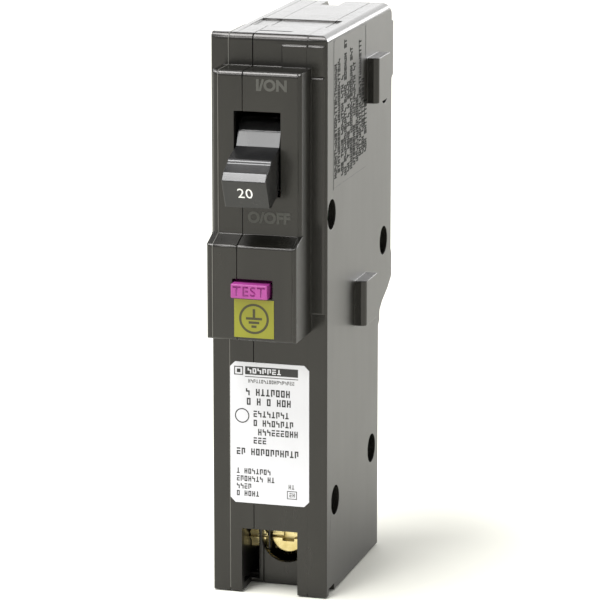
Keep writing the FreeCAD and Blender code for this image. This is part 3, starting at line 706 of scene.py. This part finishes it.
def toggle_words():
    """The raised words above and below the toggle, in the case's own plastic made matt; their lighter colour
    is a painted highlight.
    """
    for name, text, x, z in (("word_on", "I/ON", 15.5, 112.35), ("word_off", "O/OFF", 14.9, 84.35)):
        word = letters(text, 2.25, 0.16, at(x, NOSE_FRONT, z), (1, 0, 0), (0, 0, 1), 1.0, name, 0.14)
        give(word, "word_black")


def rivet_places():
    """Where each rivet ends at the right, on its axis, from its own solid; the front one comes first."""
    bm = bmesh.new()
    bm.from_mesh(NODES["rivets"].data)
    bmesh.ops.remove_doubles(bm, verts=bm.verts, dist=2e-6)
    left = set(bm.verts)
    places = []
    while left:
        island, queue = [], [left.pop()]
        while queue:
            vert = queue.pop()
            island.append(vert.co.copy())
            for edge in vert.link_edges:
                other = edge.other_vert(vert)
                if other in left:
                    left.remove(other)
                    queue.append(other)
        middle = [(min(c[i] for c in island) + max(c[i] for c in island)) / 2 for i in range(3)]
        places.append(Vector((max(c[0] for c in island), middle[1], middle[2])))
    bm.free()
    return sorted(places, key=lambda place: (place.y, place.z))


def rivets():
    """Five tubular rivets: the rolled head at the right, the shank, and the factory head at the left."""
    low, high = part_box("rivets")
    reach = (high.x - low.x) / MM
    head_rise = 0.8
    rolled = [(r, h - head_rise) for r, h in rivet_profile()]
    factory = [(0.02, -reach), (2.0, -reach), (2.0, -reach + 0.6), (1.2, -reach + 0.85)]
    profile = factory + rolled[1:]
    source = turned("rivet_pattern", profile)
    source.hide_render = True
    tree, ids = instance_tree("rivet_row", source, M["zinc_steel"])
    made = grown("rivets.finished", rivet_places(), tree, ids, {"Size": (1.0, 1.0, 1.0)})
    bpy.data.objects.remove(source)
    smooth(made)
    give(made, "zinc_steel", "housing", "rivets")


def trim_lines():
    """The raised fine border round the side text block."""
    bm = bmesh.new()
    face = POLE - 0.02
    proud = POLE + 0.05
    width = 0.28
    front, rear, low, high = 5.0, 31.3, 88.6, 120.3
    rear_low = 112.9
    slab(bm, (face, front, low), (proud, front + width, high))
    slab(bm, (face, rear - width, rear_low), (proud, rear, high))
    slab(bm, (face, front, high - width), (proud, rear, high))
    slab(bm, (face, front, low), (proud, rear, low + width))
    made = to_object("side_border", bm)
    give(made, "shell_black")


def side_print():
    """Rows of small raised print on the right cover, running up the side."""
    tree, ids = print_tree(M["mark_grey"], "side_rows")
    rows = []
    height, width, pitch, proud = 1.9, 1.35, 0.98, 0.05
    out_x = POLE - 0.01
    # each row: where it stands across the side, its lowest and highest point
    layout = [(5.6, 90.6, 116.2), (8.2, 90.8, 116.0), (11.0, 89.6, 112.0), (13.4, 89.6, 119.4),
              (15.9, 90.2, 110.0), (18.2, 90.4, 117.0), (20.6, 90.4, 113.5), (23.0, 91.0, 106.0),
              (25.4, 91.4, 117.6), (27.8, 91.4, 108.8), (30.0, 92.0, 104.0)]
    for index, (y, low, high) in enumerate(layout):
        count = int((high - low) / pitch)
        values = {"Count": count, "Pitch": pitch * MM, "Size": (width * MM, height * MM, proud * MM),
                  "Gaps": 0.1, "Along": (0.0, 0.0, -1.0), "Seed": 11 + index,
                  "Turn": (0.0, RIGHT_ANGLE, 0.0)}
        rows.append(grown("row", [at(out_x, y, high)], tree, ids, values))
    join("side_print", rows, "mark_grey")


def join(name, parts, finish):
    """One piece from several loose meshes."""
    bm = bmesh.new()
    for part in parts:
        bm.from_mesh(part.data)
        bpy.data.objects.remove(part)
    return give(to_object(name, bm), finish)


# ---------------------------------------------------------------- label, sticker, key and toggle
INK = 0.02


def bar(bm, x0, x1, z0, z1, y):
    """Add a thin printed bar on a face that looks to the front."""
    slab(bm, (x0, y - INK, z0), (x1, y + 0.01, z1))


def print_rows(lines, y, tree, ids, seed):
    """Rows of label print; each line gives its left end, right end, foot and letter height."""
    rows = []
    for index, (x0, x1, z, size) in enumerate(lines):
        pitch = size * 0.72
        values = {"Count": max(2, int((x1 - x0) / pitch)), "Pitch": pitch * MM,
                  "Size": (size * MM * 0.85, size * MM, INK * MM), "Gaps": 0.12,
                  "Along": (1.0, 0.0, 0.0), "Seed": seed + index, "Turn": (RIGHT_ANGLE, 0.0, 0.0)}
        rows.append(grown("row", [at(x0, y, z)], tree, ids, values))
    return rows


def label_print():
    """Generic print on the rating label: blocks, rules, a ring and rows of small print."""
    low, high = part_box("rating_label")
    y = drawn(low).y
    solid = bmesh.new()
    bar(solid, 7.3, 19.05, 48.5, 50.25, y)
    bar(solid, 7.3, 19.1, 47.95, 48.1, y)
    for x0, x1, z0, z1 in ((4.85, 6.85, 50.0, 50.2), (4.85, 6.85, 48.3, 48.5), (4.85, 5.05, 48.5, 50.0),
                           (6.65, 6.85, 48.5, 50.0), (5.45, 6.25, 48.85, 49.65)):
        bar(solid, x0, x1, z0, z1, y)
    for x0, x1, z0, z1 in ((16.6, 18.8, 23.15, 23.3), (16.6, 18.8, 21.5, 21.65), (16.6, 16.75, 21.65, 23.15),
                           (18.65, 18.8, 21.65, 23.15)):
        bar(solid, x0, x1, z0, z1, y)
    flat_ring(solid, 6.6, y - INK, 39.35, 1.62, 1.38, 40)
    give(to_object("label_blocks", solid), "ink_black")

    black, black_ids = print_tree(M["ink_black"], "label_rows")
    grey, grey_ids = print_tree(M["ink_grey"], "label_fine_rows")
    lines = [(7.4, 17.9, 43.9, 1.55), (7.6, 17.9, 41.8, 1.55), (9.1, 18.4, 39.2, 1.4), (9.1, 18.2, 37.2, 1.4),
             (9.1, 20.1, 35.2, 1.4), (9.1, 12.6, 33.3, 1.4), (5.3, 20.1, 30.7, 1.5), (5.3, 13.2, 26.5, 1.2),
             (5.3, 14.2, 24.8, 1.2), (5.3, 8.8, 23.1, 1.2), (5.3, 11.2, 21.5, 1.2)]
    rows = print_rows(lines, y, black, black_ids, 31)
    join("label_rows", rows, "ink_black")
    fine_lines = [(7.4, 18.6, 46.7, 0.8), (16.9, 18.5, 23.7, 1.0), (17.1, 18.4, 21.95, 0.95)]
    join("label_fine_rows", print_rows(fine_lines, y, grey, grey_ids, 51), "ink_grey")


def label_band():
    """White small print reversed out of the label's dark header."""
    low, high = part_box("rating_label")
    y = drawn(low).y - INK
    tree, ids = print_tree(M["label_white"], "header_rows")
    size = 1.15
    pitch = size * 0.95
    values = {"Count": 8, "Pitch": pitch * MM, "Size": (size * 1.15 * MM, size * MM, INK * MM), "Gaps": 0.1,
              "Along": (1.0, 0.0, 0.0), "Seed": 5, "Turn": (RIGHT_ANGLE, 0.0, 0.0)}
    row = grown("row", [at(7.8, y, 48.8)], tree, ids, values)
    join("label_header", [row], "label_white")


def sticker_symbol():
    """The earth symbol of a ground-fault device: a stem over three bars, in a thin ring."""
    low, high = (drawn(p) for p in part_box("symbol_sticker"))
    y = low.y
    middle_x, middle_z = (low.x + high.x) / 2, (low.z + high.z) / 2
    bm = bmesh.new()
    bar(bm, middle_x - 0.28, middle_x + 0.28, middle_z + 0.3, middle_z + 2.1, y)
    for drop, half in ((0.0, 1.75), (-0.85, 1.15), (-1.7, 0.55)):
        z = middle_z + drop
        bar(bm, middle_x - half, middle_x + half, z - 0.22, z + 0.3, y)
    flat_ring(bm, middle_x, y - INK, middle_z, 3.25, 2.75, 64)
    give(to_object("sticker_symbol", bm), "ink_olive")


def test_key():
    """The test key, trimmed at its right and top to show the slot, with its word cut in."""
    key = whole_copy("test_button")
    trim_rear = CHIN_FRONT + 2.6
    low, high = (drawn(p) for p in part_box("test_button"))
    for side in (((KEY_RIGHT, low.y - 1, low.z - 1), (high.x + 1, trim_rear, high.z + 1)),
                 ((low.x - 1, low.y - 1, KEY_TOP), (high.x + 1, trim_rear, high.z + 1))):
        bm = bmesh.new()
        slab(bm, *side)
        combine(key, to_object("trim", bm), "DIFFERENCE")
    bevel(key, 0.2, 3)
    cutter = letters("TEST", 2.0, 0.5, at(12.35, low.y, 69.75), (1, 0, 0), (0, 0, 1), 1.2, weight=0.055)
    combine(key, cutter, "DIFFERENCE")
    finish_shade(key)
    give(key, "key_magenta", "test_key", "test_button")


def prism(name, xs, outline):
    """A closed solid with this (y, z) outline in drawn millimetres, from one x to the other."""
    bm = bmesh.new()
    ends = [[bm.verts.new(at(x, y, z)) for y, z in outline] for x in xs]
    bm.faces.new(ends[0])
    bm.faces.new(reversed(ends[1]))
    for k in range(len(outline)):
        n = (k + 1) % len(outline)
        bm.faces.new((ends[0][k], ends[1][k], ends[1][n], ends[0][n]))
    return to_object(name, bm)


def round_outline(radius, steps):
    """A circle round the pivot, as (y, z) in drawn millimetres."""
    angles = [2 * math.pi * k / steps for k in range(steps)]
    return [(PIVOT_Y + radius * math.cos(a), PIVOT_Z + radius * math.sin(a)) for a in angles]


def flatted_hub(steps):
    """The hub's outline, leaned to off: round, with a flat above and below the root of the lever."""
    outline = []
    for k in range(steps):
        angle = 2 * math.pi * k / steps
        reach = HUB_R
        for flat in (HUB_FLAT, -HUB_FLAT):
            toward = math.cos(angle - math.radians(flat))
            if toward > 0:
                reach = min(reach, FLAT_R / toward)
        heading = angle + math.radians(HANDLE_TILT)
        outline.append((PIVOT_Y + reach * math.cos(heading), PIVOT_Z + reach * math.sin(heading)))
    return outline


def leaned(points):
    """Offsets from the pivot, turned down to off, as (y, z) in drawn millimetres."""
    lean = math.radians(HANDLE_TILT)
    return [(PIVOT_Y + y * math.cos(lean) - z * math.sin(lean),
             PIVOT_Z + y * math.sin(lean) + z * math.cos(lean)) for y, z in points]


def lever_outline():
    """The toggle's side outline, leaned down to off: tip, finger ridge, waist and root."""
    upper = [(TOGGLE_TIP, 3.3), (-15.15, 4.22), (-13.5, 4.2), (-11.95, 4.28), (-11.45, 4.62), (-10.9, 4.7),
             (-8.8, 4.42), (-6.8, 4.1), (-4.6, 3.85), (-3.6, 3.85)]
    return leaned(upper + [(y, -z) for y, z in reversed(upper)])


def toggle():
    """The toggle: waisted lever with a finger ridge above and below, on its round hub."""
    lever = prism("handle.finished", TOGGLE_X, lever_outline())
    bevel(lever, 0.16, 3, 12)
    hub = prism("hub", TOGGLE_X, flatted_hub(144))
    bevel(hub, 0.14, 2, 12)
    combine(lever, hub, "UNION")
    tail = leaned([(0.0, 3.0), (10.6, 1.6), (10.6, -1.6), (0.0, -3.0)])
    combine(lever, prism("tail", TAIL_X, tail), "UNION")
    combine(lever, prism("bore", (0.0, POLE), round_outline(PIN_R + 0.05, 32)), "DIFFERENCE")
    finish_shade(lever, 20)
    give(lever, "toggle_black", "toggle", "handle")
    lean = math.radians(HANDLE_TILT)
    across = Vector((1, 0, 0))
    out = Vector((0, -math.cos(lean), -math.sin(lean)))
    up = Vector((0, -math.sin(lean), math.cos(lean)))
    tip = at(0, PIVOT_Y, PIVOT_Z) + out * (-TOGGLE_TIP * MM)
    tip.x = at(sum(TOGGLE_X) / 2, 0, 0).x
    digits = letters("20", 2.35, 0.06, tip + up * 0.25 * MM, across, up, 1.05, "toggle_number")
    give(digits, "paint_white", "toggle")


# ---------------------------------------------------------------- everything behind the shells
FINISHES = {
    "rating_label": "label_white", "symbol_sticker": "sticker_yellow",
    "test_contact": "brass", "test_spring_seat": "chip_black", "handle_pin": "zinc_steel",
    "contact_arm": "copper", "moving_contact": "silver", "contact_pivot_pin": "zinc_steel",
    "stationary_contact": "silver", "line_strap": "copper", "arc_plates": "zinc_steel",
    "arc_chute_frame": "fibre", "line_jaw": "copper", "line_jaw_spring": "spring_steel",
    "cradle": "zinc_steel", "cradle_pin": "zinc_steel", "armature": "zinc_steel",
    "armature_pin": "zinc_steel", "magnet_yoke": "zinc_steel",
    "bimetal": "bimetal", "calibration_screw": "brass", "toggle_spring": "spring_steel",
    "power_screw": "brass", "power_clamp_plate": "brass", "power_terminal": "brass",
    "neutral_screw": "brass", "neutral_clamp_plate": "brass", "neutral_terminal": "brass",
    "load_strap": "copper", "contact_braid": "braid", "neutral_strap": "copper",
    "current_sensor_core": "ferrite", "current_sensor_winding": "winding", "arc_sensor_core": "ferrite",
    "arc_sensor_winding": "winding", "circuit_board": "board_green", "board_chips": "chip_black",
    "board_capacitors": "can_aluminium", "board_varistor": "varistor_blue", "solenoid_frame": "zinc_steel",
    "solenoid_coil": "winding", "solenoid_plunger": "zinc_steel", "plunger_spring": "spring_steel",
    "neutral_clip": "copper", "neutral_clip_spring": "spring_steel",
}
SOFTENED = {
    "power_screw": 0.12, "neutral_screw": 0.08, "power_clamp_plate": 0.15, "neutral_clamp_plate": 0.1,
    "power_terminal": 0.12, "neutral_terminal": 0.1, "line_jaw": 0.12, "neutral_clip": 0.1,
    "contact_arm": 0.15, "cradle": 0.15, "armature": 0.12, "magnet_yoke": 0.15, "board_chips": 0.12,
    "board_varistor": 0.8, "board_capacitors": 0.2, "solenoid_frame": 0.15, "test_spring_seat": 0.1,
    "circuit_board": 0.08,
}


def body_of(node):
    return NODES[node]["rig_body"]


def inner_parts():
    """Metal and electronic parts: softened copies of the flat ones, a finish on all of them."""
    for node, finish in FINISHES.items():
        if node in SOFTENED:
            copy = whole_copy(node)
            bevel(copy, SOFTENED[node])
            finish_shade(copy)
            give(copy, finish, body_of(node), node)
        else:
            part = NODES[node]
            part.data.materials.clear()
            part.data.materials.append(M[finish])


def springs():
    """The key's and the armature's return springs, as smoothed copies that ride with the housing."""
    for node, joint, travel in (("test_spring", "test_press", 1.2), ("armature_spring", "plunger_pull", 2.3)):
        wire = whole_copy(node)
        smooth(wire, 60)
        give(wire, "spring_steel", "housing", node)
        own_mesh(wire)


def windings():
    """Wire turns laid over the solenoid's bobbin."""
    tree, ids = turns_tree("wire_turns", M["winding"])
    low, high = (drawn(p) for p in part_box("solenoid_coil"))
    x, z = (low.x + high.x) / 2, (low.z + high.z) / 2
    radius = (high.x - low.x) / 2 - 0.1
    turns, wire_radius = 34, 0.2
    first, last = at(x, low.y, z), at(x, high.y, z)
    points = [first.lerp(last, (k + 0.5) / turns) for k in range(turns)]
    made = grown("solenoid_turns", points, tree, ids, {
        "Radius": radius * MM, "Wire": wire_radius * MM, "Turn": (RIGHT_ANGLE, 0.0, 0.0)})
    smooth(join("solenoid_turns", [made], "winding"), 80)


# ---------------------------------------------------------------- floor and light
def floor():
    bm = bmesh.new()
    half, drop = 3.0, 0.0003
    low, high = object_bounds()
    bmesh.ops.create_grid(bm, x_segments=1, y_segments=1, size=half)
    ground = to_object("floor", bm)
    for vert in ground.data.vertices:
        vert.co.z = low.z - drop
    material, tree, shader = surface("floor_paper")
    noise = put(tree, "ShaderNodeTexNoise", {"Scale": 40.0, "Detail": 3.0,
                                             "Vector": put(tree, "ShaderNodeTexCoord").outputs["Object"]})
    tree.links.new(blend_colours(tree, noise.outputs[0], (0.86, 0.855, 0.775), (0.88, 0.875, 0.795)),
                   shader.inputs["Base Color"])
    shader.inputs["Roughness"].default_value = 0.7
    ground.data.materials.append(material)
    ground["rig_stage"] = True


def softbox(name, place, aim, size, power):
    data = bpy.data.lights.new(name, "AREA")
    data.shape = "RECTANGLE"
    data.size, data.size_y = size
    data.energy = power
    lamp = bpy.data.objects.new(name, data)
    bpy.context.scene.collection.objects.link(lamp)
    lamp.location = place
    lamp.rotation_mode = "QUATERNION"
    lamp.rotation_quaternion = (Vector(aim) - Vector(place)).to_track_quat("-Z", "Y")


def lights():
    world = bpy.data.worlds.new("studio")
    world.use_nodes = True
    world.node_tree.nodes["Background"].inputs["Color"].default_value = (1.0, 1.0, 1.0, 1)
    world.node_tree.nodes["Background"].inputs["Strength"].default_value = 0.55
    bpy.context.scene.world = world
    softbox("overhead", (-0.38, -0.32, 1.3), (-0.1, -0.1, 0), (0.85, 0.55), 23.0)
    softbox("front_high", (-0.53, -1.47, 1.2), (0, 0, 0.06), (0.6, 0.36), 7.5)
    softbox("rear_wall", (0.1, 1.7, 0.75), (0, 0, 0.1), (2.4, 1.1), 16.5)
    softbox("rear_right", (0.75, 1.5, 0.3), (0, 0, 0.05), (0.8, 0.5), 9.5)
    bpy.context.scene.view_settings.view_transform = "Standard"


camera()
case_shells()
parting_beads()
toggle_words()
rivets()
trim_lines()
side_print()
label_print()
label_band()
sticker_symbol()
test_key()
toggle()
inner_parts()
springs()
windings()
floor()
lights()
